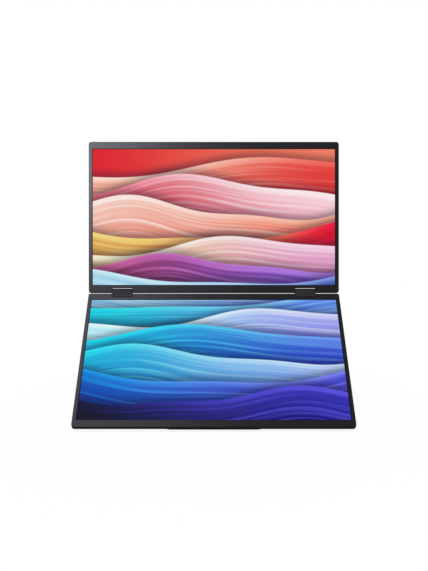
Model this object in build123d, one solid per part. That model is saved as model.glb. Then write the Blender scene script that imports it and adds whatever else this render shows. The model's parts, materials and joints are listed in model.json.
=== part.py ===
from build123d import *
import math
import os

# Two hinged 15.6 inch displays that stand on a rear kickstand. All sizes in millimetres.

# Picture area and borders of one display
ACTIVE_W = 344.2
ACTIVE_H = 193.6
BEZEL_SIDE = 4.8
BEZEL_FREE = 9.6
BEZEL_HINGE = 10.9
CORNER_R = 3.8
LEAST_CORNER_R = 0.4
FRONT_EDGE_R = 0.6
REAR_EDGE_R = 1.2

# Layers of one display, front to back
BEZEL_T = 0.9
CELL_T = 1.0
GUIDE_T = 1.0
TRAY_T = 0.3
FLOOR = 1.2
WALL = 1.5
SEAM_DEPTH = 1.9
SEAM_CHAMFER = 0.25
CELL_BORDER = 1.2
CELL_LEDGE = 2.6
TRAY_WALL = 0.4
INNER_GAP = 0.2

# Light bar, driver board and flat cable
LED_BAR_W = 2.4
LED_BAR_T = 0.3
LED_L = 3.0
LED_W = 1.2
LED_T = 0.5
LED_PITCH = 12.0
DRIVER_END_GAP = 42.1
DRIVER_D = 8.0
DRIVER_T = 0.5
DRIVER_SETBACK = 8.0
DRIVER_CHIPS = 4
DRIVER_CHIP_PITCH = 60.0
DRIVER_CHIP_L = 18.0
DRIVER_CHIP_W = 3.0
DRIVER_CHIP_T = 0.6
CABLE_W = 12.0
CABLE_T = 0.2
CABLE_SETBACK = 61.9
CABLE_REACH = 6.0

# Posts, pads and screws, set back from the side edges
PAD_SETBACKS = (26.9, 76.9)
PAD_W = 6.0
PAD_D = 4.0
PAD_BAY_GAP = 4.0
POST_R = 1.6
POST_SETBACK = 3.6
FREE_POST_SETBACKS = (11.9, 81.9)
HINGE_POST_SETBACKS = (86.9, 141.9)
SCREW_HEAD_R = 1.7
SCREW_HEAD_T = 0.6
SCREW_R = 0.7
SCREW_L = 3.6
SCREW_TIP_ROOM = 0.5
SCREW_FIT = 0.05
SCREW_PASS_GAP = 0.2
SCREW_HEAD_GAP = 0.1
SCREW_TIP_GAP = 0.1
SCREW_DRIVE_R = 0.7
SCREW_DRIVE_T = 0.3
HEX_SIDES = 6

# Two-axis hinge
CLOSED_GAP = 0.6
EDGE_PAST_AXIS = 2.65
EDGE_SWING_GAP = 0.15
BARREL_L = 29.0
BARREL_WALL = 0.6
BARREL_END = 1.0
BARREL_EDGE_R = 0.3
BARREL_CROWN = 0.6
CAP_INSET = 0.3
NOTCH_GAP = 0.4
NOTCH_END_GAP = 0.3
NOTCH_WALL = 1.2
NOTCH_R = 1.2
NOTCH_BEVEL = 0.2
NOTCH_BEVEL_ANGLE = 45.0
SHAFT_R = 1.1
SHAFT_INSET = 3.5
RUN_GAP = 0.05
SHAFT_HOLE_GAP = 0.3
PADDLE_L = 9.0
PADDLE_D = 6.0
PADDLE_T = 0.8
LEAF_SIDE_GAP = 0.6
LEAF_EDGE_GAP = 5.3
LEAF_W = 24.0
LEAF_L = 27.0
LEAF_T = 0.8
LEAF_CORNER_R = 3.0
LEAF_BOSS_T = 0.4
LEAF_BOSS_R = 2.2
LEAF_HEAD_R = 1.6
LEAF_HEAD_T = 0.5
LEAF_HEAD_GAP = 0.3
LEAF_SCREW_BITE = 0.8
LEAF_SCREW_SHARES = ((0.25, 0.50), (0.75, 0.50), (0.50, 0.85))
RIVET_R = 0.8
RIVET_HEAD_R = 1.2
RIVET_HEAD_T = 0.4
RIVET_SHARES = (0.28, 0.75)
RIVET_DEPTH_SHARE = 0.55
LINK_T = 1.2
LINK_INSET = 8.0
GEAR_L = 4.0
GEAR_GAP = 0.2
MAIN_TEETH = 12
IDLER_TEETH = 8
TOOTH_ADD = 0.72
TOOTH_DED = 1.12
TOOTH_PITCH_SHARE = 0.205
TOOTH_TIP_SHARE = 0.085
TOOTH_ROOT_SHARE = 0.29
AXLE_R = 0.45
WASHER_R = 2.0
WASHER_T = 1.8
NUT_FLATS = 3.4
NUT_T = 1.4
STACK_GAP = 0.05

# Raised rear bay and stem of the lower display
BAY_START = 9.0
BAY_SLOPE = 3.6
BAY_END_ROOM = 2.4
BAY_EDGE_R = 1.0
STEM_RIM = 7.5
STEM_SLOPE = 2.2
STEM_SETBACK = 1.5
STEM_CORE_W = 92.0
STEM_CORE_GAP = 2.0
STEM_CORE_END_GAP = 4.0

# Boards and ports
BOARD_STANDOFF = 0.4
BOARD_T = 1.0
BOARD_LEAF_GAP = 4.0
BOARD_LENGTH = 75.0
BOARD_EDGE_GAP = 0.3
BOARD_SCREW_R = 0.8
BOARD_SCREW_INSET = 4.0
BOARD_HEAD_R = 1.6
BOARD_HEAD_T = 0.8
BOARD_DRIVE_T = 0.4
STANDOFF_R = 2.0
PORT_HEADROOM = 0.94
PORT_EDGE = 2.0
PORT_SPACE = 3.0
PORT_RECESS = 0.3
PORT_GAP = 0.17
PORT_BACK = 0.8
PORT_L = 7.35
TONGUE_L = 4.4
USB_W = 8.94
USB_H = 3.26
USB_SHELL = 0.3
USB_TONGUE_W = 6.6
USB_TONGUE_T = 0.7
HDMI_W = 11.2
HDMI_H = 3.2
HDMI_SHELL = 0.35
HDMI_TAPER = 1.1
HDMI_TONGUE_W = 8.0
HDMI_TONGUE_T = 0.6

# Chips on the main board: share of its length, offset across, length, width and height
BOARD_CHIPS = (
    (0.22, 0.0, 14.0, 14.0, 1.2),
    (0.45, 8.0, 8.0, 8.0, 1.0),
    (0.45, -8.0, 10.0, 6.0, 1.0),
    (0.66, 9.0, 6.0, 6.0, 2.0),
    (0.66, -4.0, 7.0, 10.0, 0.9),
)

# Buttons
BUTTON_PROUD = 0.5
BUTTON_EDGE_R = 0.25
BUTTON_HALF_H = 1.1
BUTTON_HALF_W = 4.0
BUTTON_SPACE = 1.6
BUTTON_SLOT_GAP = 0.2
ROCKER_HALF_W = 7.5
FLANGE_LIP = 0.7
FLANGE_T = 0.8
FLANGE_GAP = 0.2
ROCKER_FLANGE_GAP = 0.5
PLUNGER_R = 0.8
PLUNGER_REACH = 3.4
NUB_R = 0.5
NUB_L = 0.8
SWITCH_GAP = 0.5
SWITCH_L = 4.0
SWITCH_W = 4.0
SWITCH_H = 2.6
SWITCH_HOLE_GAP = 0.25
SWITCH_HOLE_L = 1.2
ROCKER_NUB_Y = 5.0
ROCKER_PIN_R = 0.5
ROCKER_PIN_DEPTH = 1.8
ROCKER_PIN_WALL = 0.8
ROCKER_WEB_W = 2.4
ROCKER_LUG_W = 2.6
ROCKER_LUG_T = 0.6
BUTTON_BOARD_EDGE = 3.1
BUTTON_BOARD_L = 14.0

# Kickstand
KICK_W = 104.0
KICK_T = 2.0
KICK_BAY_GAP = 8.0
KICK_GAP = 0.4
KICK_SEAT_GAP = 0.2
KICK_CORNER_R = 6.0
KICK_WEB_START = 2.4
KICK_STOP_ROOM = 3.2
KICK_PLATE_SETBACK = 1.5
KICK_FOOT_L = 6.0
KICK_FOOT_INSET = 10.0
KNUCKLE_INSET = 16.0
KNUCKLE_L = 12.0
KNUCKLE_R = 1.6
KNUCKLE_END_GAP = 0.2
PIN_R = 0.8
PIN_FIT = 0.02
EAR_T = 1.4
EAR_HALF = 1.3
BRACKET_BASE_T = 0.6
BRACKET_GAP = 0.15
BRACKET_SCREW_X = 4.0
BRACKET_HEAD_T = 0.6
TUB_WALL = 0.8
SCOOP_W = 22.0
SCOOP_L = 3.0
SCOOP_WALL = 0.8

# Rubber feet
FOOT_DROP = 1.7
FOOT_FACE = 3.4
FOOT_LENGTH = 112.0
FOOT_INSET = 3.5
FOOT_SEAT = 1.1
PAD_STRIP_L = 34.0
PAD_STRIP_W = 8.0
PAD_STRIP_R = 2.0
PAD_STRIP_PROUD = 0.6
PAD_STRIP_SEAT = 0.4
PAD_STRIP_SETBACK = 56.9
PAD_STRIP_Y = 40.0

# How far cutters run past a face, and how deep added bosses root in a wall
PAST = 1.0
ROOT = 0.2

# Standing pose, in degrees back from vertical
UPPER_LEAN = 6.0
LOWER_LEAN = 46.0
HALF_TURN = 180.0
QUARTER_TURN = 90.0

# Levels across the thickness, zero on the hinge axis
BACK_SPACE = LEAF_BOSS_T + LEAF_T + LEAF_HEAD_T + LEAF_HEAD_GAP
MODULE_T = BEZEL_T + CELL_T + GUIDE_T + TRAY_T + BACK_SPACE + FLOOR
AXIS_DEPTH = MODULE_T / 2
Z_FRONT = AXIS_DEPTH
Z_GLASS = Z_FRONT - BEZEL_T
Z_CELL = Z_GLASS - CELL_T
Z_GUIDE = Z_CELL - GUIDE_T
Z_TRAY = Z_GUIDE - TRAY_T
Z_REAR = Z_FRONT - MODULE_T
Z_FLOOR = Z_REAR + FLOOR
Z_SEAM = Z_FRONT - SEAM_DEPTH
Z_LEAF = Z_FLOOR + LEAF_BOSS_T
Z_LEAF_TOP = Z_LEAF + LEAF_T

# Positions along the display, zero on the hinge axis
MODULE_W = ACTIVE_W + 2 * BEZEL_SIDE
Y_EDGE = -EDGE_PAST_AXIS
Y_PIC0 = Y_EDGE + BEZEL_HINGE
Y_PIC1 = Y_PIC0 + ACTIVE_H
Y_FREE = Y_PIC1 + BEZEL_FREE
HALF_W = MODULE_W / 2

# Hinge positions
BARREL_R = MODULE_T / 2
AXIS_PITCH = MODULE_T + CLOSED_GAP
EDGE_SWING_R = AXIS_PITCH / 2 - EDGE_SWING_GAP
GEAR_MODULE = AXIS_PITCH / (MAIN_TEETH + 2 * IDLER_TEETH)
IDLER_A = GEAR_MODULE * (MAIN_TEETH + IDLER_TEETH) / 2
IDLER_B = IDLER_A + GEAR_MODULE * IDLER_TEETH
HALF_FOLD = (LOWER_LEAN - UPPER_LEAN) / 2
LEAF_X = HALF_W - WALL - LEAF_EDGE_GAP - LEAF_W
NOTCH_OUT = LEAF_X - LEAF_SIDE_GAP - NOTCH_WALL
BARREL_OUT = NOTCH_OUT - NOTCH_END_GAP
BARREL_IN = BARREL_OUT - BARREL_L
NOTCH_IN = BARREL_IN - NOTCH_END_GAP
HINGE_X = (BARREL_IN + BARREL_OUT) / 2
NOTCH_Y = BARREL_R + BARREL_CROWN + NOTCH_GAP
LINK_A_X = BARREL_IN + LINK_INSET
GEAR_X = LINK_A_X + LINK_T + GEAR_GAP
LINK_B_X = GEAR_X + GEAR_L + GEAR_GAP

# Ports and buttons along the bay
BOARD_START = LEAF_L + BOARD_LEAF_GAP
USB_A_Y = BOARD_START + PORT_EDGE + USB_W / 2
USB_B_Y = USB_A_Y + USB_W + PORT_SPACE
HDMI_Y = USB_B_Y + USB_W / 2 + PORT_SPACE + HDMI_W / 2
BOARD_END = HDMI_Y + HDMI_W / 2 + PORT_EDGE
POWER_Y = BOARD_START + BUTTON_HALF_W + FLANGE_LIP
MENU_Y = POWER_Y + 2 * (BUTTON_HALF_W + FLANGE_LIP) + BUTTON_SPACE
ROCKER_Y = MENU_Y + BUTTON_HALF_W + ROCKER_HALF_W + 2 * FLANGE_LIP + BUTTON_SPACE
BUTTON_BOARD_END = ROCKER_Y + ROCKER_HALF_W + FLANGE_LIP
BAY_END = max(BOARD_END, BUTTON_BOARD_END) + BAY_END_ROOM + BAY_SLOPE

# Bay, board and kickstand levels
BAY_H = BOARD_STANDOFF + BOARD_T + USB_H + PORT_HEADROOM - BACK_SPACE
Z_BAY = Z_REAR - BAY_H
Z_BAY_FLOOR = Z_BAY + FLOOR
Z_BOARD = Z_BAY_FLOOR + BOARD_STANDOFF
Z_BOARD_TOP = Z_BOARD + BOARD_T
USB_Z = Z_BOARD_TOP + USB_H / 2
HDMI_Z = Z_BOARD_TOP + HDMI_H / 2
BUTTON_Z = Z_BOARD_TOP + SWITCH_H / 2
KICK_Z = Z_BAY + KNUCKLE_R
KICK_MID = KNUCKLE_R - KICK_T / 2
Z_RECESS = Z_BAY + KICK_T + KICK_SEAT_GAP
Z_BRACKET = KICK_Z + KNUCKLE_R + KICK_SEAT_GAP
Z_POCKET = Z_BRACKET + BRACKET_BASE_T

# Standing angles
LOWER_ANGLE = math.radians(LOWER_LEAN)
UPPER_ANGLE = math.radians(UPPER_LEAN)
LINK_ANGLE = (LOWER_ANGLE + UPPER_ANGLE) / 2
SIN_L = math.sin(LOWER_ANGLE)
COS_L = math.cos(LOWER_ANGLE)
SIN_U = math.sin(UPPER_ANGLE)
COS_U = math.cos(UPPER_ANGLE)

# Stem and kickstand plan
STEM_W = max(FOOT_LENGTH + 2 * FOOT_INSET, KICK_W + 2 * STEM_RIM)
STEM_END = Y_FREE - STEM_SETBACK
FOOT_BACK = STEM_END - FOOT_FACE * SIN_L
RECESS_END = FOOT_BACK - SCOOP_WALL - SCOOP_L
KICK_PIVOT_Y = BAY_END + KICK_BAY_GAP
KICK_TIP = RECESS_END - KICK_GAP - KICK_T
KICK_LEG = KICK_TIP - KICK_PIVOT_Y
KICK_FOOT_W = KICK_W - 2 * KICK_FOOT_INSET
KNUCKLE_X = KICK_W / 2 - KNUCKLE_INSET

# Where the standing pose puts the axes and the kickstand
EDGE_DROP = (Y_FREE - REAR_EDGE_R) * COS_L - (Z_REAR + REAR_EDGE_R) * SIN_L + REAR_EDGE_R
AXIS_HEIGHT = EDGE_DROP + FOOT_DROP
PIVOT_HEIGHT = AXIS_HEIGHT - KICK_PIVOT_Y * COS_L + KICK_Z * SIN_L
LEG_REACH = math.hypot(KICK_LEG, KICK_MID)
LEG_TILT = math.acos(PIVOT_HEIGHT / LEG_REACH) - math.atan2(KICK_MID, KICK_LEG)
KICK_OPEN = LOWER_LEAN + math.degrees(LEG_TILT)

# Axes in the object's frame, with the middle of its box at the origin
FRONT_MOST = (Y_FREE - FRONT_EDGE_R) * SIN_L + (Z_FRONT - FRONT_EDGE_R) * COS_L + FRONT_EDGE_R
AXIS_STEP_Y = AXIS_PITCH * math.sin(LINK_ANGLE)
AXIS_STEP_Z = AXIS_PITCH * math.cos(LINK_ANGLE)
BACK_REACH = (Y_FREE - REAR_EDGE_R) * SIN_U - (Z_REAR + REAR_EDGE_R) * COS_U + REAR_EDGE_R
AXIS_X = -BUTTON_PROUD / 2
AXIS_Y = (FRONT_MOST - AXIS_STEP_Y - BACK_REACH) / 2
LOWER_AXIS = (AXIS_X, AXIS_Y, AXIS_HEIGHT)
UPPER_AXIS = (AXIS_X, AXIS_Y + AXIS_STEP_Y, AXIS_HEIGHT + AXIS_STEP_Z)


def block(x0, x1, y0, y1, z0, z1):
    centre = Pos((x0 + x1) / 2, (y0 + y1) / 2, (z0 + z1) / 2)
    return centre * Box(abs(x1 - x0), abs(y1 - y0), abs(z1 - z0))


def x_rod(radius, x0, x1, y, z):
    return Pos((x0 + x1) / 2, y, z) * Rot(0, QUARTER_TURN, 0) * Cylinder(radius, abs(x1 - x0))


def z_rod(radius, x, y, z0, z1):
    return Pos(x, y, (z0 + z1) / 2) * Cylinder(radius, abs(z1 - z0))


def x_prism(points, x0, x1):
    low = min(x0, x1)
    corners = [(low, y, z) for y, z in points]
    face = make_face(Polyline(*corners, close=True))
    return extrude(face, abs(x1 - x0), dir=(1, 0, 0))


def outline_slab(inset, z0, z1):
    width = MODULE_W - 2 * inset
    depth = Y_FREE - Y_EDGE - 2 * inset
    corner = max(CORNER_R - inset, LEAST_CORNER_R)
    sketch = RectangleRounded(width, depth, corner)
    return extrude(Pos(0, (Y_EDGE + Y_FREE) / 2, z0) * sketch, z1 - z0)


def swing_room():
    reach = HALF_W + PAST
    body = block(-reach, reach, 0, Y_FREE + PAST, Z_REAR - PAST, Z_FRONT + PAST)
    return body + x_rod(EDGE_SWING_R, -reach, reach, 0, 0)


def notch_sketch(grow):
    width = NOTCH_OUT - NOTCH_IN + 2 * grow
    depth = 2 * (NOTCH_Y - Y_EDGE + grow)
    return RectangleRounded(width, depth, NOTCH_R + grow)


def notch_prism(side, grow, z0, z1):
    return extrude(Pos(side * HINGE_X, Y_EDGE, z0) * notch_sketch(grow), z1 - z0)


def notch_cutter(side):
    through = notch_prism(side, 0, Z_REAR - PAST, Z_FRONT + PAST)
    flare_base = Pos(side * HINGE_X, Y_EDGE, Z_FRONT - NOTCH_BEVEL) * notch_sketch(0)
    flare = extrude(flare_base, NOTCH_BEVEL, taper=-NOTCH_BEVEL_ANGLE)
    return through + flare


def shaft_hole(side):
    start = side * (NOTCH_OUT - NOTCH_R)
    end = side * (NOTCH_OUT + NOTCH_WALL + NOTCH_R)
    return x_rod(SHAFT_R + SHAFT_HOLE_GAP, start, end, 0, 0)


def cover_posts():
    spots = []
    for side in (-1, 1):
        for setback in FREE_POST_SETBACKS:
            spots.append((side * (HALF_W - setback), Y_FREE - POST_SETBACK))
        for setback in HINGE_POST_SETBACKS:
            spots.append((side * (HALF_W - setback), Y_EDGE + POST_SETBACK))
    return spots


def make_bezel():
    shell = outline_slab(0, Z_SEAM, Z_FRONT)
    shell = fillet(shell.faces().sort_by(Axis.Z)[-1].edges(), FRONT_EDGE_R)
    shell &= swing_room()
    cavity = outline_slab(WALL, Z_SEAM - PAST, Z_GLASS)
    for side in (-1, 1):
        cavity -= notch_prism(side, NOTCH_WALL, Z_SEAM - PAST, Z_GLASS)
    shell -= cavity
    shell -= block(-ACTIVE_W / 2, ACTIVE_W / 2, Y_PIC0, Y_PIC1, Z_SEAM, Z_FRONT + PAST)
    for side in (-1, 1):
        shell -= notch_cutter(side)
        shell -= shaft_hole(side)
    screw_end = Z_REAR + SCREW_L + SCREW_TIP_ROOM
    for x, y in cover_posts():
        shell += z_rod(POST_R, x, y, Z_FLOOR, Z_GLASS)
        shell -= z_rod(SCREW_R + SCREW_FIT, x, y, Z_FLOOR - PAST, screw_end)
    return shell


def leaf_screw_spots():
    return [(LEAF_X + LEAF_W * across, LEAF_L * along) for across, along in LEAF_SCREW_SHARES]


def rivet_spots():
    y = SHAFT_R + (PADDLE_D - SHAFT_R) * RIVET_DEPTH_SHARE
    return [(LEAF_X + PADDLE_L * share, y) for share in RIVET_SHARES]


def pad_spots():
    rows = (BAY_END + PAD_BAY_GAP, (BAY_END + Y_PIC1) / 2, Y_PIC1 - PAD_D)
    return [(side * (HALF_W - setback), y) for side in (-1, 1) for setback in PAD_SETBACKS for y in rows]


def rear_blank():
    shell = outline_slab(0, Z_REAR, Z_SEAM)
    shell = fillet(shell.faces().sort_by(Axis.Z)[0].edges(), REAR_EDGE_R)
    shell = chamfer(shell.faces().sort_by(Axis.Z)[-1].edges(), SEAM_CHAMFER)
    return shell & swing_room()


def module_cavity():
    top = Z_SEAM + PAST
    cavity = outline_slab(WALL, Z_FLOOR, top)
    relief_y = -(SHAFT_R + SHAFT_HOLE_GAP)
    x0 = NOTCH_OUT + NOTCH_WALL
    x1 = LEAF_X + LEAF_W
    for side in (-1, 1):
        cavity -= notch_prism(side, NOTCH_WALL, Z_FLOOR - PAST, top + PAST)
        cavity += block(side * x0, side * x1, relief_y, Y_EDGE + WALL + PAST, Z_FLOOR, top)
    return cavity


def add_cover_details(cover, floor_under_leaf):
    for side in (-1, 1):
        cover -= notch_cutter(side)
        cover -= shaft_hole(side)
        for x, y in leaf_screw_spots():
            cover += z_rod(LEAF_BOSS_R, side * x, y, floor_under_leaf - ROOT, Z_LEAF)
            cover -= z_rod(SCREW_R + SCREW_FIT, side * x, y, Z_LEAF - LEAF_SCREW_BITE, Z_LEAF + PAST)
    for x, y in pad_spots():
        cover += block(x - PAD_W / 2, x + PAD_W / 2, y - PAD_D / 2, y + PAD_D / 2, Z_FLOOR - ROOT, Z_TRAY)
    for x, y in cover_posts():
        cover -= z_rod(SCREW_R + SCREW_PASS_GAP, x, y, Z_REAR - PAST, Z_FLOOR + PAST)
        cover -= z_rod(SCREW_HEAD_R + SCREW_HEAD_GAP, x, y, Z_REAR - PAST, Z_REAR + SCREW_HEAD_T)
    return cover


def make_upper_cover():
    cover = rear_blank() - module_cavity()
    return add_cover_details(cover, Z_FLOOR)


def bay_blank():
    root = Z_REAR + FLOOR / 2
    profile = (
        (BAY_START, root),
        (BAY_START, Z_REAR),
        (BAY_START + BAY_SLOPE, Z_BAY),
        (BAY_END - BAY_SLOPE, Z_BAY),
        (BAY_END, Z_REAR),
        (BAY_END, root),
    )
    bay = x_prism(profile, -HALF_W, HALF_W)
    return fillet(bay.faces().sort_by(Axis.Z)[0].edges(), BAY_EDGE_R)


def stem_blank():
    half = STEM_W / 2
    top = half - STEM_SLOPE
    root = Z_REAR + FLOOR / 2
    start = BAY_END - 2 * BAY_SLOPE
    profile = ((-half, root), (-half, Z_REAR), (-top, Z_BAY), (top, Z_BAY), (half, Z_REAR), (half, root))
    corners = [(x, start, z) for x, z in profile]
    return extrude(make_face(Polyline(*corners, close=True)), STEM_END - start, dir=(0, 1, 0))


def recess_cut():
    half = KICK_W / 2 + KICK_GAP
    low = Z_BAY - PAST
    pocket = block(-half, half, KICK_PIVOT_Y - KICK_STOP_ROOM, RECESS_END, low, Z_RECESS)
    ends = pocket.edges().filter_by(Axis.Z).sort_by(Axis.Y)[-2:]
    pocket = fillet(ends, KICK_CORNER_R)
    scoop = block(-SCOOP_W / 2, SCOOP_W / 2, RECESS_END - PAST, RECESS_END + SCOOP_L, low, Z_RECESS)
    return pocket + scoop


def knuckle_pocket(side, grow, z0, z1):
    reach = KNUCKLE_L / 2 + KNUCKLE_END_GAP + EAR_T + BRACKET_GAP + grow
    room = KICK_STOP_ROOM + grow
    x = side * KNUCKLE_X
    return block(x - reach, x + reach, KICK_PIVOT_Y - room, KICK_PIVOT_Y + room, z0, z1)


def bracket_screw_spots(side):
    return [(side * KNUCKLE_X + sign * BRACKET_SCREW_X, KICK_PIVOT_Y) for sign in (-1, 1)]


def make_front_foot():
    ground = (STEM_END * COS_L - AXIS_HEIGHT) / SIN_L
    seat = Z_BAY + FOOT_SEAT
    points = (
        (STEM_END, ground),
        (FOOT_BACK, ground - FOOT_FACE * COS_L),
        (FOOT_BACK, seat),
        (STEM_END, seat),
    )
    return x_prism(points, -FOOT_LENGTH / 2, FOOT_LENGTH / 2)


def foot_step():
    return block(-STEM_W / 2, STEM_W / 2, FOOT_BACK, STEM_END + PAST, Z_BAY - PAST, Z_BAY + FOOT_SEAT)


def pad_strip(side):
    x = side * (HALF_W - PAD_STRIP_SETBACK)
    half_l = PAD_STRIP_L / 2
    half_w = PAD_STRIP_W / 2
    z0 = Z_BAY - PAD_STRIP_PROUD
    z1 = Z_BAY + PAD_STRIP_SEAT
    strip = block(x - half_l, x + half_l, PAD_STRIP_Y - half_w, PAD_STRIP_Y + half_w, z0, z1)
    return fillet(strip.edges().filter_by(Axis.Z), PAD_STRIP_R)


def side_x(depth, side):
    return side * (HALF_W - depth)


def side_plane(depth, y, z):
    return Plane(origin=(HALF_W - depth, y, z), x_dir=(0, 1, 0), z_dir=(-1, 0, 0))


def usb_profile(grow):
    return SlotOverall(USB_W + 2 * grow, USB_H + 2 * grow)


def hdmi_profile(grow):
    half = HDMI_W / 2 + grow
    top = HDMI_H / 2 + grow
    return Polygon(
        (-half, top),
        (-half, -top + HDMI_TAPER),
        (-half + HDMI_TAPER, -top),
        (half - HDMI_TAPER, -top),
        (half, -top + HDMI_TAPER),
        (half, top),
        align=None,
    )


def port_openings():
    depth = WALL + 2 * PAST
    cuts = [extrude(side_plane(-PAST, y, USB_Z) * usb_profile(PORT_GAP), depth) for y in (USB_A_Y, USB_B_Y)]
    cuts.append(extrude(side_plane(-PAST, HDMI_Y, HDMI_Z) * hdmi_profile(PORT_GAP), depth))
    return cuts


def button_slot(y, half_width):
    half = half_width + BUTTON_SLOT_GAP
    tall = BUTTON_HALF_H + BUTTON_SLOT_GAP
    outer = side_x(-PAST, -1)
    inner = side_x(WALL + PAST, -1)
    return block(outer, inner, y - half, y + half, BUTTON_Z - tall, BUTTON_Z + tall)


def rocker_lug_levels():
    inner = BUTTON_HALF_H + FLANGE_LIP + 2 * RUN_GAP
    return inner, inner + ROCKER_LUG_T


def rocker_pin_x():
    return side_x(WALL + ROCKER_PIN_DEPTH, -1)


def rocker_lugs():
    inner, outer = rocker_lug_levels()
    half = ROCKER_LUG_W / 2
    x0 = side_x(WALL - ROOT, -1)
    x1 = rocker_pin_x() + ROCKER_PIN_R + ROCKER_LUG_T
    lugs = []
    for sign in (-1, 1):
        z0 = BUTTON_Z + sign * inner
        z1 = BUTTON_Z + sign * outer
        lugs.append(block(x0, x1, ROCKER_Y - half, ROCKER_Y + half, z0, z1))
    return lugs


def board_x_range():
    outer = HALF_W - WALL - BOARD_EDGE_GAP
    return outer - BOARD_LENGTH, outer


def button_board_x_range():
    outer = HALF_W - WALL - BUTTON_BOARD_EDGE
    return -outer, -outer + BUTTON_BOARD_L


def board_screw_spots():
    inset = BOARD_SCREW_INSET
    main_x = board_x_range()[0] + inset
    button_x = button_board_x_range()[1] - inset / 2
    low = BOARD_START + inset
    return [
        (main_x, low),
        (main_x, BOARD_END - inset),
        (button_x, low),
        (button_x, BUTTON_BOARD_END - inset),
    ]


def make_lower_cover():
    blank = rear_blank() + bay_blank() + stem_blank()
    bay_space = block(
        -HALF_W + WALL,
        HALF_W - WALL,
        BAY_START + BAY_SLOPE + FLOOR / 2,
        BAY_END - BAY_SLOPE - FLOOR / 2,
        Z_BAY_FLOOR,
        Z_FLOOR + PAST,
    )
    core = block(
        -STEM_CORE_W / 2,
        STEM_CORE_W / 2,
        KICK_PIVOT_Y + KICK_STOP_ROOM + STEM_CORE_GAP,
        RECESS_END - STEM_CORE_END_GAP,
        Z_RECESS + TUB_WALL,
        Z_FLOOR + PAST,
    )
    cover = blank - module_cavity() - bay_space - core
    for side in (-1, 1):
        cover += knuckle_pocket(side, TUB_WALL, Z_REAR, Z_POCKET + TUB_WALL)
    cover -= recess_cut()
    for side in (-1, 1):
        cover -= knuckle_pocket(side, 0, Z_BAY - PAST, Z_POCKET)
        for x, y in bracket_screw_spots(side):
            cover -= z_rod(BOARD_SCREW_R + SCREW_FIT, x, y, Z_POCKET - PAST, bracket_screw_seat() + PAST)
        cover -= pad_strip(side)
    cover -= foot_step()
    cover = add_cover_details(cover, Z_BAY_FLOOR)
    for lug in rocker_lugs():
        cover += lug
    reach = rocker_lug_levels()[1] + ROOT
    cover -= z_rod(ROCKER_PIN_R + RUN_GAP, rocker_pin_x(), ROCKER_Y, BUTTON_Z - reach, BUTTON_Z + reach)
    for cut in port_openings():
        cover -= cut
    cover -= button_slot(POWER_Y, BUTTON_HALF_W)
    cover -= button_slot(MENU_Y, BUTTON_HALF_W)
    cover -= button_slot(ROCKER_Y, ROCKER_HALF_W)
    for x, y in board_screw_spots():
        cover += z_rod(STANDOFF_R, x, y, Z_BAY_FLOOR - ROOT, Z_BOARD)
        cover -= z_rod(BOARD_SCREW_R + SCREW_FIT, x, y, Z_BAY + FLOOR / 2, Z_BOARD + PAST)
    return cover


def make_cell():
    half = ACTIVE_W / 2 + CELL_BORDER
    return block(-half, half, Y_PIC0 - CELL_BORDER, Y_PIC1 + CELL_LEDGE, Z_CELL, Z_GLASS)


def make_tray():
    half = ACTIVE_W / 2 + CELL_BORDER
    inner = half - TRAY_WALL
    y0 = Y_PIC0 - CELL_BORDER
    y1 = Y_PIC1 + CELL_LEDGE
    tray = block(-half, half, y0, y1, Z_TRAY, Z_CELL)
    return tray - block(-inner, inner, y0 + TRAY_WALL, y1 - TRAY_WALL, Z_GUIDE, Z_CELL + PAST)


def guide_start():
    return Y_PIC0 - CELL_BORDER + TRAY_WALL + INNER_GAP + LED_BAR_W + INNER_GAP


def make_guide():
    half = ACTIVE_W / 2 + CELL_BORDER - TRAY_WALL - INNER_GAP
    y1 = Y_PIC1 + CELL_LEDGE - TRAY_WALL - INNER_GAP
    return block(-half, half, guide_start(), y1, Z_GUIDE, Z_CELL)


def make_led_bar():
    half = ACTIVE_W / 2 - 2 * CELL_BORDER
    y1 = guide_start() - INNER_GAP
    top = Z_GUIDE + LED_BAR_T
    bar = block(-half, half, y1 - LED_BAR_W, y1, Z_GUIDE, top)
    count = int(2 * half / LED_PITCH)
    for i in range(count):
        x = (i - (count - 1) / 2) * LED_PITCH
        bar += block(x - LED_L / 2, x + LED_L / 2, y1 - LED_W, y1, top, top + LED_T)
    return bar


def make_driver_board():
    half = ACTIVE_W / 2 - DRIVER_END_GAP
    y1 = Y_PIC1 - DRIVER_SETBACK
    y0 = y1 - DRIVER_D
    middle = (y0 + y1) / 2
    low = Z_TRAY - DRIVER_T
    board = block(-half, half, y0, y1, low, Z_TRAY)
    half_l = DRIVER_CHIP_L / 2
    half_w = DRIVER_CHIP_W / 2
    for i in range(DRIVER_CHIPS):
        x = (i - (DRIVER_CHIPS - 1) / 2) * DRIVER_CHIP_PITCH
        board += block(x - half_l, x + half_l, middle - half_w, middle + half_w, low - DRIVER_CHIP_T, low)
    return board


def make_lower_cable():
    x0 = HALF_W - CABLE_SETBACK - CABLE_W
    x1 = HALF_W - CABLE_SETBACK
    y1 = Y_PIC1 - DRIVER_SETBACK - DRIVER_D
    y0 = BOARD_END - CABLE_REACH
    cable = block(x0, x1, y0, y1, Z_TRAY - CABLE_T, Z_TRAY)
    return cable + block(x0, x1, y0, y0 + CABLE_T, Z_BOARD_TOP, Z_TRAY)


def make_upper_cable():
    x0 = -HALF_W + CABLE_SETBACK
    y1 = Y_PIC1 - DRIVER_SETBACK - DRIVER_D
    return block(x0, x0 + CABLE_W, Y_PIC0, y1, Z_TRAY - CABLE_T, Z_TRAY)


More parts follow.
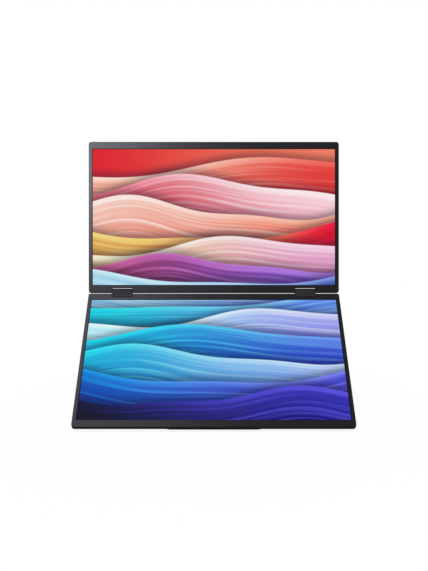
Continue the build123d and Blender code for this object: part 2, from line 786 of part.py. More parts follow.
def gear_points(teeth, phase, centre):
    pitch_r = GEAR_MODULE * teeth / 2
    root_r = pitch_r - TOOTH_DED * GEAR_MODULE
    tip_r = pitch_r + TOOTH_ADD * GEAR_MODULE
    flank = ((root_r, TOOTH_ROOT_SHARE), (pitch_r, TOOTH_PITCH_SHARE), (tip_r, TOOTH_TIP_SHARE))
    pitch = 2 * math.pi / teeth
    points = []
    for i in range(teeth):
        middle = math.radians(phase) + i * pitch
        rising = [(r, middle - share * pitch) for r, share in flank]
        falling = [(r, middle + share * pitch) for r, share in reversed(flank)]
        for r, angle in rising + falling:
            points.append((centre + r * math.cos(angle), r * math.sin(angle)))
    return points


def make_shaft(side, tooth_phase):
    start = side * (BARREL_IN + SHAFT_INSET)
    flat = side * LEAF_X
    end = side * (LEAF_X + PADDLE_L)
    wide = 2 * SHAFT_R
    z0 = Z_LEAF_TOP
    z1 = Z_LEAF_TOP + PADDLE_T
    shaft = x_rod(SHAFT_R, start, end, 0, 0)
    teeth = gear_points(MAIN_TEETH, tooth_phase, 0)
    shaft += x_prism(teeth, side * GEAR_X, side * (GEAR_X + GEAR_L))
    shaft -= block(flat, end + side * PAST, -wide, wide, -wide, z0)
    shaft += block(flat, end, 0, PADDLE_D, z0, z1)
    for x, y in rivet_spots():
        shaft -= z_rod(RIVET_R + SCREW_FIT, side * x, y, z0 - PAST, z1 + PAST)
    return shaft


def make_leaf(side):
    leaf = block(side * LEAF_X, side * (LEAF_X + LEAF_W), -SHAFT_R, LEAF_L, Z_LEAF, Z_LEAF_TOP)
    leaf = fillet(leaf.edges().filter_by(Axis.Z).sort_by(Axis.Y)[-2:], LEAF_CORNER_R)
    for x, y in leaf_screw_spots():
        leaf -= z_rod(SCREW_R + 2 * SCREW_FIT, side * x, y, Z_LEAF - PAST, Z_LEAF_TOP + PAST)
    for x, y in rivet_spots():
        leaf -= z_rod(RIVET_R + SCREW_FIT, side * x, y, Z_LEAF - PAST, Z_LEAF_TOP + PAST)
    return leaf


def make_leaf_screws():
    tip = Z_LEAF - LEAF_SCREW_BITE + SCREW_TIP_GAP
    head_top = Z_LEAF_TOP + LEAF_HEAD_T
    screws = []
    for side in (-1, 1):
        for x, y in leaf_screw_spots():
            head = z_rod(LEAF_HEAD_R, side * x, y, Z_LEAF_TOP, head_top)
            shank = z_rod(SCREW_R, side * x, y, tip, Z_LEAF_TOP)
            drive = z_rod(SCREW_DRIVE_R, side * x, y, head_top - SCREW_DRIVE_T, head_top + PAST)
            screws.append(head + shank - drive)
    return screws


def make_rivets():
    top = Z_LEAF_TOP + PADDLE_T
    rivets = []
    for side in (-1, 1):
        for x, y in rivet_spots():
            body = z_rod(RIVET_R, side * x, y, Z_LEAF, top)
            rivets.append(body + z_rod(RIVET_HEAD_R, side * x, y, top, top + RIVET_HEAD_T))
    return rivets


def make_cover_screws():
    screws = []
    for x, y in cover_posts():
        head = z_rod(SCREW_HEAD_R, x, y, Z_REAR, Z_REAR + SCREW_HEAD_T)
        shank = z_rod(SCREW_R, x, y, Z_REAR + SCREW_HEAD_T, Z_REAR + SCREW_L)
        drive = Pos(x, y, Z_REAR) * extrude(RegularPolygon(SCREW_DRIVE_R, HEX_SIDES), SCREW_DRIVE_T)
        screws.append(head + shank - drive)
    return screws


def make_nuts():
    nuts = []
    x1 = LINK_A_X - STACK_GAP - WASHER_T - STACK_GAP
    for side in (-1, 1):
        plane = Plane(origin=(side * x1, 0, 0), x_dir=(0, 1, 0), z_dir=(-side, 0, 0))
        nut = extrude(plane * RegularPolygon(NUT_FLATS / 2, HEX_SIDES, major_radius=False), NUT_T)
        nuts.append(nut - x_rod(SHAFT_R + PIN_FIT, side * (x1 - NUT_T - PAST), side * (x1 + PAST), 0, 0))
    return nuts


def capsule(radius, x0, x1, crown=0):
    low = min(x0, x1)
    span = AXIS_PITCH + crown
    plane = Plane(origin=(low, span / 2, 0), x_dir=(0, 1, 0), z_dir=(1, 0, 0))
    return extrude(plane * SlotCenterToCenter(span, 2 * radius), abs(x1 - x0))


# The barrels reach a little further into the upper display than into the lower one
def make_barrel(side):
    shell = capsule(BARREL_R, side * BARREL_IN, side * BARREL_OUT, BARREL_CROWN)
    shell = fillet(shell.faces().sort_by(Axis.X)[0].edges(), BARREL_EDGE_R)
    shell = fillet(shell.faces().sort_by(Axis.X)[-1].edges(), BARREL_EDGE_R)
    start = side * (BARREL_IN + BARREL_END)
    return shell - capsule(BARREL_R - BARREL_WALL, start, side * (BARREL_OUT + PAST))


def inner_plate(side, x, idler_holes):
    radius = BARREL_R - BARREL_WALL - RUN_GAP
    plate = capsule(radius, side * x, side * (x + LINK_T))
    start = side * (x - PAST)
    end = side * (x + LINK_T + PAST)
    for y in (0, AXIS_PITCH):
        plate -= x_rod(SHAFT_R + RUN_GAP, start, end, y, 0)
    if idler_holes:
        for y in (IDLER_A, IDLER_B):
            plate -= x_rod(AXLE_R + RUN_GAP, start, end, y, 0)
    return plate


def make_link_plates():
    return [inner_plate(side, x, True) for side in (-1, 1) for x in (LINK_A_X, LINK_B_X)]


def make_barrel_caps():
    return [inner_plate(side, BARREL_OUT - LINK_T - CAP_INSET, False) for side in (-1, 1)]


def make_washers():
    washers = []
    x1 = LINK_A_X - STACK_GAP
    x0 = x1 - WASHER_T
    for side in (-1, 1):
        for y in (0, AXIS_PITCH):
            ring = x_rod(WASHER_R, side * x0, side * x1, y, 0)
            washers.append(ring - x_rod(SHAFT_R + RUN_GAP, side * (x0 - PAST), side * (x1 + PAST), y, 0))
    return washers


def make_idlers(centre, phase):
    gears = []
    for side in (-1, 1):
        teeth = gear_points(IDLER_TEETH, phase, centre)
        gear = x_prism(teeth, side * GEAR_X, side * (GEAR_X + GEAR_L))
        gears.append(gear + x_rod(AXLE_R, side * LINK_A_X, side * (LINK_B_X + LINK_T), centre, 0))
    return gears


def drilled_board(x0, x1, end):
    board = block(x0, x1, BOARD_START, end, Z_BOARD, Z_BOARD_TOP)
    for x, y in board_screw_spots():
        board -= z_rod(BOARD_SCREW_R + 2 * SCREW_FIT, x, y, Z_BOARD - PAST, Z_BOARD_TOP + PAST)
    return board


def make_main_board():
    x0, x1 = board_x_range()
    return drilled_board(x0, x1, BOARD_END)


def make_button_board():
    x0, x1 = button_board_x_range()
    return drilled_board(x0, x1, BUTTON_BOARD_END)


def make_board_chips():
    x0, x1 = board_x_range()
    middle = (BOARD_START + BOARD_END) / 2
    chips = []
    for share, offset, length, width, height in BOARD_CHIPS:
        x = x0 + share * (x1 - x0)
        y = middle + offset
        half_l = length / 2
        half_w = width / 2
        top = Z_BOARD_TOP + height
        chips.append(block(x - half_l, x + half_l, y - half_w, y + half_w, Z_BOARD_TOP, top))
    return chips


def make_board_screws():
    tip = Z_BAY + FLOOR / 2 + SCREW_TIP_GAP
    head_top = Z_BOARD_TOP + BOARD_HEAD_T
    screws = []
    for x, y in board_screw_spots():
        head = z_rod(BOARD_HEAD_R, x, y, Z_BOARD_TOP, head_top)
        shank = z_rod(BOARD_SCREW_R, x, y, tip, Z_BOARD_TOP)
        screws.append(head + shank - z_rod(SCREW_DRIVE_R, x, y, head_top - BOARD_DRIVE_T, head_top + PAST))
    return screws


def make_port(y, z, outer, inner, tongue):
    mouth = side_plane(PORT_RECESS, y, z)
    back = side_plane(PORT_RECESS + PORT_L - PORT_BACK, y, z)
    shell = extrude(mouth * outer, PORT_L)
    shell -= extrude(mouth * inner, PORT_L - PORT_BACK)
    return shell + extrude(back * tongue, -TONGUE_L)


def make_usb(y):
    tongue = Rectangle(USB_TONGUE_W, USB_TONGUE_T)
    return make_port(y, USB_Z, usb_profile(0), usb_profile(-USB_SHELL), tongue)


def make_hdmi():
    tongue = Rectangle(HDMI_TONGUE_W, HDMI_TONGUE_T)
    return make_port(HDMI_Y, HDMI_Z, hdmi_profile(0), hdmi_profile(-HDMI_SHELL), tongue)


def switch_spots():
    return (POWER_Y, MENU_Y, ROCKER_Y - ROCKER_NUB_Y, ROCKER_Y + ROCKER_NUB_Y)


def make_switches():
    switches = []
    half = SWITCH_W / 2
    front = WALL + PLUNGER_REACH + SWITCH_GAP
    x0 = side_x(front, -1)
    x1 = side_x(front + SWITCH_L, -1)
    hole_end = side_x(front + SWITCH_HOLE_L, -1)
    for y in switch_spots():
        body = block(x0, x1, y - half, y + half, Z_BOARD_TOP, Z_BOARD_TOP + SWITCH_H)
        switches.append(body - x_rod(NUB_R + SWITCH_HOLE_GAP, x0 - PAST, hole_end, y, BUTTON_Z))
    return switches


def button_plunger(y, start):
    middle = side_x(WALL + PLUNGER_REACH, -1)
    stem = x_rod(PLUNGER_R, side_x(WALL + start, -1), middle, y, BUTTON_Z)
    return stem + x_rod(NUB_R, middle, side_x(WALL + PLUNGER_REACH + NUB_L, -1), y, BUTTON_Z)


def button_cap(y, half_width, flange_gap):
    tall = BUTTON_HALF_H
    outer = side_x(-BUTTON_PROUD, -1)
    flange0 = side_x(WALL + flange_gap, -1)
    flange1 = side_x(WALL + flange_gap + FLANGE_T, -1)
    face = block(outer, flange0, y - half_width, y + half_width, BUTTON_Z - tall, BUTTON_Z + tall)
    face = fillet(face.faces().sort_by(Axis.X)[0].edges(), BUTTON_EDGE_R)
    wide = half_width + FLANGE_LIP
    high = tall + FLANGE_LIP
    return face + block(flange0, flange1, y - wide, y + wide, BUTTON_Z - high, BUTTON_Z + high)


def make_push_button(y):
    return button_cap(y, BUTTON_HALF_W, FLANGE_GAP) + button_plunger(y, FLANGE_GAP + FLANGE_T / 2)


def make_rocker():
    rocker = button_cap(ROCKER_Y, ROCKER_HALF_W, ROCKER_FLANGE_GAP)
    start = ROCKER_FLANGE_GAP + FLANGE_T / 2
    for sign in (-1, 1):
        rocker += button_plunger(ROCKER_Y + sign * ROCKER_NUB_Y, start)
    high = BUTTON_HALF_H + FLANGE_LIP
    half = ROCKER_WEB_W / 2
    x0 = side_x(WALL + start, -1)
    x1 = rocker_pin_x() + ROCKER_PIN_WALL
    rocker += block(x0, x1, ROCKER_Y - half, ROCKER_Y + half, BUTTON_Z - high, BUTTON_Z + high)
    reach = rocker_lug_levels()[1]
    return rocker + z_rod(ROCKER_PIN_R, rocker_pin_x(), ROCKER_Y, BUTTON_Z - reach, BUTTON_Z + reach)


def make_kick_bracket(side):
    x = side * KNUCKLE_X
    inner = KNUCKLE_L / 2 + KNUCKLE_END_GAP
    outer = inner + EAR_T
    room = KICK_STOP_ROOM - BRACKET_GAP
    bracket = block(x - outer, x + outer, KICK_PIVOT_Y - room, KICK_PIVOT_Y + room, Z_BRACKET, Z_POCKET)
    for sign in (-1, 1):
        x0 = x + sign * inner
        x1 = x + sign * outer
        ear = block(x0, x1, KICK_PIVOT_Y - EAR_HALF, KICK_PIVOT_Y + EAR_HALF, KICK_Z, Z_BRACKET)
        bracket += ear + x_rod(EAR_HALF, x0, x1, KICK_PIVOT_Y, KICK_Z)
    bracket -= x_rod(PIN_R + PIN_FIT, x - outer - PAST, x + outer + PAST, KICK_PIVOT_Y, KICK_Z)
    for sx, sy in bracket_screw_spots(side):
        bracket -= z_rod(BOARD_SCREW_R + SCREW_FIT, sx, sy, Z_BRACKET - PAST, Z_POCKET + PAST)
    return bracket


def make_kick_pins():
    reach = KNUCKLE_L / 2 + KNUCKLE_END_GAP + EAR_T
    pins = []
    for side in (-1, 1):
        x = side * KNUCKLE_X
        pins.append(x_rod(PIN_R, x - reach, x + reach, KICK_PIVOT_Y, KICK_Z))
    return pins


def bracket_screw_seat():
    return max(Z_POCKET + TUB_WALL, Z_FLOOR)


def make_bracket_screws():
    seat = bracket_screw_seat()
    screws = []
    for side in (-1, 1):
        for x, y in bracket_screw_spots(side):
            shank = z_rod(BOARD_SCREW_R, x, y, Z_BRACKET, seat)
            screws.append(shank + z_rod(BOARD_HEAD_R, x, y, seat, seat + BRACKET_HEAD_T))
    return screws


def make_kick_plate():
    half = KICK_W / 2
    foot_half = KICK_FOOT_W / 2
    z1 = Z_BAY + KICK_T
    end = KICK_TIP - KICK_PLATE_SETBACK
    foot_start = KICK_TIP - KICK_FOOT_L
    plate = block(-half, half, KICK_PIVOT_Y + KICK_WEB_START, end, Z_BAY, z1)
    plate = fillet(plate.edges().filter_by(Axis.Z).sort_by(Axis.Y)[-2:], KICK_CORNER_R)
    plate -= block(-foot_half, foot_half, foot_start, end + PAST, Z_BAY - PAST, z1 + PAST)
    for side in (-1, 1):
        x0 = side * KNUCKLE_X - KNUCKLE_L / 2
        x1 = side * KNUCKLE_X + KNUCKLE_L / 2
        plate += block(x0, x1, KICK_PIVOT_Y, KICK_PIVOT_Y + KICK_WEB_START + PAST, Z_BAY, z1)
        plate += x_rod(KNUCKLE_R, x0, x1, KICK_PIVOT_Y, KICK_Z)
        plate -= x_rod(PIN_R + RUN_GAP, x0 - PAST, x1 + PAST, KICK_PIVOT_Y, KICK_Z)
    return plate


def make_kick_foot():
    z_in = Z_BAY + KICK_T
    start = KICK_TIP - KICK_FOOT_L
    rise = (KICK_T / 2) * math.tan(LEG_TILT)
    points = ((start, Z_BAY), (KICK_TIP + rise, Z_BAY), (KICK_TIP - rise, z_in), (start, z_in))
    return x_prism(points, -KICK_FOOT_W / 2, KICK_FOOT_W / 2)


def opened_kickstand(shape):
    pivot = Pos(0, KICK_PIVOT_Y, KICK_Z)
    return pivot * Rot(-KICK_OPEN, 0, 0) * pivot.inverse() * shape


def facing(origin, side, angle):
    front = (0, -math.cos(angle), math.sin(angle))
    return Plane(origin=origin, x_dir=(side, 0, 0), z_dir=front).location


def lower_nodes():
    tooth = HALF_TURN - HALF_FOLD
    return {
        "lower_front_bezel": make_bezel(),
        "lower_rear_cover": make_lower_cover(),
        "lower_lcd_panel": make_cell(),
        "lower_light_guide": make_guide(),
        "lower_led_bar": make_led_bar(),
        "lower_lcd_frame": make_tray(),
        "lower_driver_board": make_driver_board(),
        "lower_panel_cable": make_lower_cable(),
        "lower_hinge_leaf_left": make_leaf(1),
        "lower_hinge_leaf_right": make_leaf(-1),
        "lower_hinge_shaft_left": make_shaft(1, tooth),
        "lower_hinge_shaft_right": make_shaft(-1, tooth),
        "lower_leaf_screws": make_leaf_screws(),
        "lower_rivets": make_rivets(),
        "lower_shaft_nuts": make_nuts(),
        "lower_cover_screws": make_cover_screws(),
        "main_board": make_main_board(),
        "board_chips": make_board_chips(),
        "board_screws": make_board_screws(),
        "usb_c_port_a": make_usb(USB_A_Y),
        "usb_c_port_b": make_usb(USB_B_Y),
        "mini_hdmi_port": make_hdmi(),
        "button_board": make_button_board(),
        "tact_switches": make_switches(),
        "power_button": make_push_button(POWER_Y),
        "menu_button": make_push_button(MENU_Y),
        "adjust_rocker": make_rocker(),
        "front_foot": make_front_foot(),
        "rear_pads": [pad_strip(-1), pad_strip(1)],
        "kickstand_bracket_left": make_kick_bracket(1),
        "kickstand_bracket_right": make_kick_bracket(-1),
        "kickstand_pins": make_kick_pins(),
        "kickstand_bracket_screws": make_bracket_screws(),
        "kickstand_plate": opened_kickstand(make_kick_plate()),
        "kickstand_foot": opened_kickstand(make_kick_foot()),
    }


def upper_nodes():
    tooth = HALF_TURN - HALF_FOLD + HALF_TURN / MAIN_TEETH
    return {
        "upper_front_bezel": make_bezel(),
        "upper_rear_cover": make_upper_cover(),
        "upper_lcd_panel": make_cell(),
        "upper_light_guide": make_guide(),
        "upper_led_bar": make_led_bar(),
        "upper_lcd_frame": make_tray(),
        "upper_driver_board": make_driver_board(),
        "upper_panel_cable": make_upper_cable(),
        "upper_hinge_leaf_left": make_leaf(-1),
        "upper_hinge_leaf_right": make_leaf(1),
        "upper_hinge_shaft_left": make_shaft(-1, tooth),
        "upper_hinge_shaft_right": make_shaft(1, tooth),
        "upper_leaf_screws": make_leaf_screws(),
        "upper_rivets": make_rivets(),
        "upper_shaft_nuts": make_nuts(),
        "upper_cover_screws": make_cover_screws(),
    }


def link_nodes():
    return {
        "hinge_barrel_left": make_barrel(-1),
        "hinge_barrel_right": make_barrel(1),
        "hinge_barrel_caps": make_barrel_caps(),
        "hinge_link_plates": make_link_plates(),
        "torque_washers": make_washers(),
        "idler_gears_lower": make_idlers(IDLER_A, HALF_TURN / IDLER_TEETH),
        "idler_gears_upper": make_idlers(IDLER_B, 0.0),
    }


def solids_of(item):
    if isinstance(item, list):
        return [solid for shape in item for solid in shape.solids()]
    return item.solids()


def main():
    os.makedirs("parts", exist_ok=True)
    groups = (
        (facing(LOWER_AXIS, -1, LOWER_ANGLE), lower_nodes()),
        (facing(UPPER_AXIS, 1, UPPER_ANGLE), upper_nodes()),
        (facing(LOWER_AXIS, 1, LINK_ANGLE), link_nodes()),
    )
    for place, nodes in groups:
        for name, item in nodes.items():
            placed = [solid.moved(place) for solid in solids_of(item)]
            shape = placed[0] if len(placed) == 1 else Compound(children=placed)
            export_step(shape, "parts/" + name + ".step")


if __name__ == "__main__":
    main()
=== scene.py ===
import json
import math

import bpy
from mathutils import Matrix, Vector

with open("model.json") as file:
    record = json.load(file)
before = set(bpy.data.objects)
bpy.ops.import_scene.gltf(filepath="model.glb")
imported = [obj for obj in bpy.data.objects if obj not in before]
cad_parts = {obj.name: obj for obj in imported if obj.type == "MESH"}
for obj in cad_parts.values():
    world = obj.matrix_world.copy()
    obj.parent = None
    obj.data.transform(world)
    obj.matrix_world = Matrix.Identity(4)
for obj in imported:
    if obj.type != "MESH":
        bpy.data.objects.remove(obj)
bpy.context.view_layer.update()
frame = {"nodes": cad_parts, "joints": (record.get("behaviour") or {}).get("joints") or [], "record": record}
NODES = frame["nodes"]
JOINTS = {joint["name"]: joint for joint in frame["joints"]}

# Lengths are in metres.
RIGHTWARD = Vector((1.0, 0.0, 0.0))
UPWARD = Vector((0.0, 0.0, 1.0))

# Lean of the two displays back from vertical
UPPER_LEAN = math.radians(6.0)
LOWER_LEAN = math.radians(46.0)

# Picture area of one display, its start from the hinge axis, its dark margin and soft edge, and the
# display's face in front of the hinge axis
PICTURE_W = 0.3442
PICTURE_H = 0.1936
PICTURE_START = 0.00825
PICTURE_MARGIN = 0.0007
PICTURE_EDGE = 0.0002
FRONT_DEPTH = 0.0032

# Hinge axes of the two displays, read from the frame
UPPER_AXIS = Vector(JOINTS["upper_fold"]["pos_m"])
LOWER_AXIS = Vector(JOINTS["link_fold"]["pos_m"])

# Camera: lens and sensor width in millimetres, and distance from the upper display's face
LENS = 48.76
SENSOR = 36.0
CAMERA_DISTANCE = 1.0937

# Sockets of a colour mix node, and the detail of a plain noise
MIX_FACTOR = 0
MIX_FIRST = 6
MIX_SECOND = 7
MIX_RESULT = 2
NOISE_DETAIL = 2.0

# Plastics by slot: colour, roughness and its spread, grains per metre, grain depth, gloss
PLASTICS = {
    "barrel": ((0.0064, 0.0062, 0.0072), 0.50, 0.08, 5200.0, 0.000004, 0.21),
    "button": ((0.018, 0.018, 0.020), 0.38, 0.10, 4200.0, 0.00003, 0.30),
    "chip": ((0.012, 0.012, 0.013), 0.55, 0.12, 3000.0, 0.00003, 0.50),
    "ribbon": ((0.72, 0.68, 0.52), 0.45, 0.10, 1500.0, 0.00002, 0.50),
    "led": ((0.80, 0.80, 0.76), 0.50, 0.10, 2500.0, 0.00002, 0.50),
    "guide": ((0.78, 0.82, 0.84), 0.18, 0.06, 900.0, 0.00001, 0.50),
}
COOL_GLOSS = (0.88, 0.87, 1.0, 1.0)
MOTTLE_SCALE = 18.0
MOTTLE_DETAIL = 4.0
MOTTLE = 0.08

# Front bezels: a satin face and a matte rim, rougher than the face by the rim's extra. The rim gives
# way to the face between two levels in front of the hinge axis.
BEZEL_COLOUR = (0.0032, 0.0030, 0.0038)
BEZEL_ROUGH = 0.30
BEZEL_SPREAD = 0.08
BEZEL_GRAIN = 5200.0
BEZEL_DEPTH = 0.000004
BEZEL_GLOSS = 0.16
RIM_EXTRA = 0.56
RIM_LEVEL = 0.0029
FACE_LEVEL = 0.0031

# Rear covers: a lighter back drawn in fine lines along the width, and matte sides, rougher than the back by
# the sides' extra, whose colour is painted shade as dark as the bezels, for the shadowed floor they face.
# The back gives way to the sides between two levels behind the hinge axis.
BACK_COLOUR = (0.029, 0.029, 0.0315)
BACK_LINES = (25.0, 700.0, 700.0)
BACK_DETAIL = 3.0
BACK_SHADE = 0.25
BACK_ROUGH = 0.46
BACK_SPREAD = 0.16
BACK_GRAIN = 1500.0
BACK_DEPTH = 0.00006
SIDE_SHADE_COLOUR = (0.0026, 0.0024, 0.0030)
SIDE_EXTRA = 0.40
COVER_GLOSS = 0.06
BACK_LEVEL = -0.0030
SIDE_LEVEL = -0.0022

# Metals by slot: colour, roughness, brush lines per metre along x, y and z
METALS = {
    "stand": ((0.11, 0.11, 0.118), 0.38, (70.0, 4200.0, 4200.0)),
    "steel": ((0.56, 0.56, 0.58), 0.30, (300.0, 3600.0, 3600.0)),
    "port": ((0.62, 0.61, 0.60), 0.24, (400.0, 2400.0, 2400.0)),
    "dark_screw": ((0.06, 0.06, 0.065), 0.34, (900.0, 900.0, 900.0)),
    "brass": ((0.74, 0.56, 0.26), 0.28, (2600.0, 2600.0, 2600.0)),
}
BRUSH_DETAIL = 3.0
BRUSH_SHADE = 0.12
BRUSH_SPREAD = 0.12
BRUSH_DEPTH = 0.00001

# Rubber feet
RUBBER_COLOUR = (0.019, 0.019, 0.0195)
RUBBER_SHADE = 0.37
RUBBER_GRAIN = 2600.0
RUBBER_DETAIL = 3.0
RUBBER_DEPTH = 0.00008
RUBBER_ROUGH = 0.82
RUBBER_GLOSS = 0.3

# Circuit boards, with tracks drawn by a stretched noise
BOARD_COLOUR = (0.016, 0.14, 0.062)
BOARD_SHADE = 0.21
TRACKS = (900.0, 160.0, 160.0)
TRACK_DETAIL = 1.0
TRACK_LOW = 0.48
TRACK_HIGH = 0.52
TRACK_DEPTH = 0.00003
BOARD_ROUGH = 0.42

# Screen picture: stacked rolling bands, from the top down. Each has its level in picture heights,
# its swing, waves and phase, and a left and a right colour as a display shows them.
BANDS = (
    (1.92, 0.070, 1.7, 0.4, (0.97, 0.68, 0.58), (0.90, 0.26, 0.24)),
    (1.77, 0.085, 2.2, 1.9, (0.86, 0.30, 0.36), (0.98, 0.82, 0.86)),
    (1.62, 0.080, 2.6, 3.4, (0.96, 0.78, 0.72), (0.95, 0.50, 0.40)),
    (1.47, 0.085, 1.9, 5.0, (0.88, 0.66, 0.32), (0.86, 0.06, 0.18)),
    (1.34, 0.070, 2.3, 0.9, (0.94, 0.84, 0.62), (0.90, 0.66, 0.80)),
    (1.22, 0.060, 2.8, 2.6, (0.60, 0.24, 0.42), (0.46, 0.32, 0.74)),
    (1.12, 0.055, 2.2, 4.3, (0.60, 0.82, 0.92), (0.34, 0.44, 0.86)),
    (0.98, 0.070, 1.8, 5.6, (0.05, 0.70, 0.80), (0.36, 0.52, 0.90)),
    (0.83, 0.080, 2.3, 0.2, (0.70, 0.93, 0.97), (0.64, 0.66, 0.94)),
    (0.67, 0.085, 1.9, 1.7, (0.02, 0.70, 0.86), (0.26, 0.38, 0.84)),
    (0.51, 0.075, 2.5, 3.1, (0.10, 0.72, 0.88), (0.58, 0.70, 0.94)),
    (0.35, 0.075, 2.1, 4.6, (0.00, 0.38, 0.76), (0.30, 0.30, 0.80)),
    (0.18, 0.065, 2.7, 6.0, (0.00, 0.04, 0.16), (0.22, 0.20, 0.70)),
)

# Colours behind the bands, level of each display's lower picture edge, and the bands' finer forms
BACKDROP_LEFT = (0.88, 0.12, 0.17)
BACKDROP_RIGHT = (0.96, 0.50, 0.38)
UPPER_LEVEL = 1.06
LOWER_LEVEL = 0.0
DISPLAY_GAMMA = 2.2
RIPPLE_WAVES = 2.3
RIPPLE_PHASE = 1.7
RIPPLE_SWING = 0.3
BAND_SOFT = 0.004
BAND_DEPTH = 0.30
BAND_SHADE_WIDTH = 0.11
BAND_SHADE = 0.55
BAND_SHADE_COLOUR = (0.0, 0.0, 0.03)
CREST_WIDTH = 0.06
CREST_LIGHT = 0.6
STREAKS_ACROSS = 0.6
STREAKS_DOWN = 40.0
STREAK_DETAIL = 3.0
STREAK_LOW = 0.42
STREAK_HIGH = 0.78
STREAK_STRENGTH = 0.6

# Screen surface and its light
PICTURE_LIGHT = 0.95
SCREEN_COLOUR = (0.004, 0.004, 0.005)
SCREEN_ROUGH = 0.45
SCREEN_GLOSS = 0.03

# Studio: softboxes by name, place, width, height and watts
SOFTBOXES = (
    ("left_softbox", (-0.62, -2.29, 0.93), 0.45, 0.40, 36.0),
    ("top_softbox", (-0.52, -0.22, 1.80), 0.92, 0.74, 12.5),
    ("rear_softbox", (0.90, 1.70, 0.95), 1.10, 0.90, 24.0),
)
LIGHT_AIM = (0.0, 0.0, 0.17)
SKY_LIGHT = 0.32
SKY_SEEN = 1.0

# Floor: pale paper that keeps a faint shadow near the object and a darker one where it touches
FLOOR_HALF = 4.0
FLOOR_DROP = 0.0002
FLOOR_COLOUR = (0.86, 0.86, 0.86)
FLOOR_ROUGH = 0.9
FLOOR_GLOSS = 0.1
SHADOW_WASH = 0.94
SHADOW_REACH = 0.18
SHADOW_END = 0.42
CONTACT_REACH = 0.006
CONTACT_LEVEL = 0.88


def up_along(lean):
    return Vector((0.0, math.sin(lean), math.cos(lean)))


def front_of(lean):
    return Vector((0.0, -math.cos(lean), math.sin(lean)))


def look_along(direction, up):
    forward = direction.normalized()
    side = forward.cross(up).normalized()
    top = side.cross(forward)
    return Matrix((side, top, -forward)).transposed().to_4x4()


def colour(red, green, blue):
    return (red, green, blue, 1.0)


def shown(red, green, blue):
    return colour(red**DISPLAY_GAMMA, green**DISPLAY_GAMMA, blue**DISPLAY_GAMMA)


WHITE = colour(1.0, 1.0, 1.0)
BLACK = colour(0.0, 0.0, 0.0)


# A material's node graph
class Graph:
    def __init__(self, name):
        self.material = bpy.data.materials.new(name)
        self.material.use_nodes = True
        self.tree = self.material.node_tree
        self.shader = self.tree.nodes["Principled BSDF"]

    def node(self, kind):
        return self.tree.nodes.new(kind)

    def link(self, value, socket):
        if isinstance(value, bpy.types.NodeSocket):
            self.tree.links.new(value, socket)
        else:
            socket.default_value = value

    def math(self, operation, *values):
        node = self.node("ShaderNodeMath")
        node.operation = operation
        for socket, value in zip(node.inputs, values):
            self.link(value, socket)
        return node.outputs[0]

    def add(self, a, b):
        return self.math("ADD", a, b)

    def sub(self, a, b):
        return self.math("SUBTRACT", a, b)

    def mul(self, a, b):
        return self.math("MULTIPLY", a, b)

    def ramp(self, value, low, high):
        node = self.node("ShaderNodeMapRange")
        node.interpolation_type = "SMOOTHSTEP"
        self.link(value, node.inputs["Value"])
        node.inputs["From Min"].default_value = low
        node.inputs["From Max"].default_value = high
        return node.outputs["Result"]

    def mix(self, factor, a, b, blend="MIX"):
        node = self.node("ShaderNodeMix")
        node.data_type = "RGBA"
        node.blend_type = blend
        self.link(factor, node.inputs[MIX_FACTOR])
        self.link(a, node.inputs[MIX_FIRST])
        self.link(b, node.inputs[MIX_SECOND])
        return node.outputs[MIX_RESULT]

    def shades(self, factor, base, spread):
        dark = colour(*[value * (1.0 - spread) for value in base])
        light = colour(*[value * (1.0 + spread) for value in base])
        return self.mix(factor, dark, light)

    def object_point(self):
        return self.node("ShaderNodeTexCoord").outputs["Object"]

    def along(self, point, direction, start):
        node = self.node("ShaderNodeVectorMath")
        node.operation = "DOT_PRODUCT"
        self.link(point, node.inputs[0])
        node.inputs[1].default_value = direction
        return self.sub(node.outputs["Value"], start.dot(direction))

    def distance(self, point):
        node = self.node("ShaderNodeVectorMath")
        node.operation = "LENGTH"
        self.link(point, node.inputs[0])
        return node.outputs["Value"]

    def vector(self, x, y, z):
        node = self.node("ShaderNodeCombineXYZ")
        for socket, value in zip(node.inputs, (x, y, z)):
            self.link(value, socket)
        return node.outputs[0]

    def stretch(self, point, scale):
        node = self.node("ShaderNodeMapping")
        self.link(point, node.inputs["Vector"])
        node.inputs["Scale"].default_value = scale
        return node.outputs[0]

    def noise(self, point, scale=1.0, detail=NOISE_DETAIL):
        node = self.node("ShaderNodeTexNoise")
        self.link(point, node.inputs["Vector"])
        node.inputs["Scale"].default_value = scale
        node.inputs["Detail"].default_value = detail
        return node.outputs["Fac"]

    def about(self, value, middle, spread):
        return self.add(middle - spread / 2, self.mul(value, spread))

    def bump(self, height, distance):
        node = self.node("ShaderNodeBump")
        node.inputs["Distance"].default_value = distance
        self.link(height, node.inputs["Height"])
        self.link(node.outputs["Normal"], self.shader.inputs["Normal"])

    def set(self, **values):
        for name, value in values.items():
            self.link(value, self.shader.inputs[name.replace("_", " ")])


# Finishes
def grained_plastic(slot):
    base, rough, spread, grain, depth, gloss = PLASTICS[slot]
    g = Graph(slot)
    point = g.object_point()
    fine = g.noise(point, grain)
    g.set(
        Base_Color=g.shades(g.noise(point, MOTTLE_SCALE, MOTTLE_DETAIL), base, MOTTLE),
        Roughness=g.about(fine, rough, spread),
        Specular_IOR_Level=gloss,
        Specular_Tint=COOL_GLOSS,
    )
    g.bump(fine, depth)
    return g.material


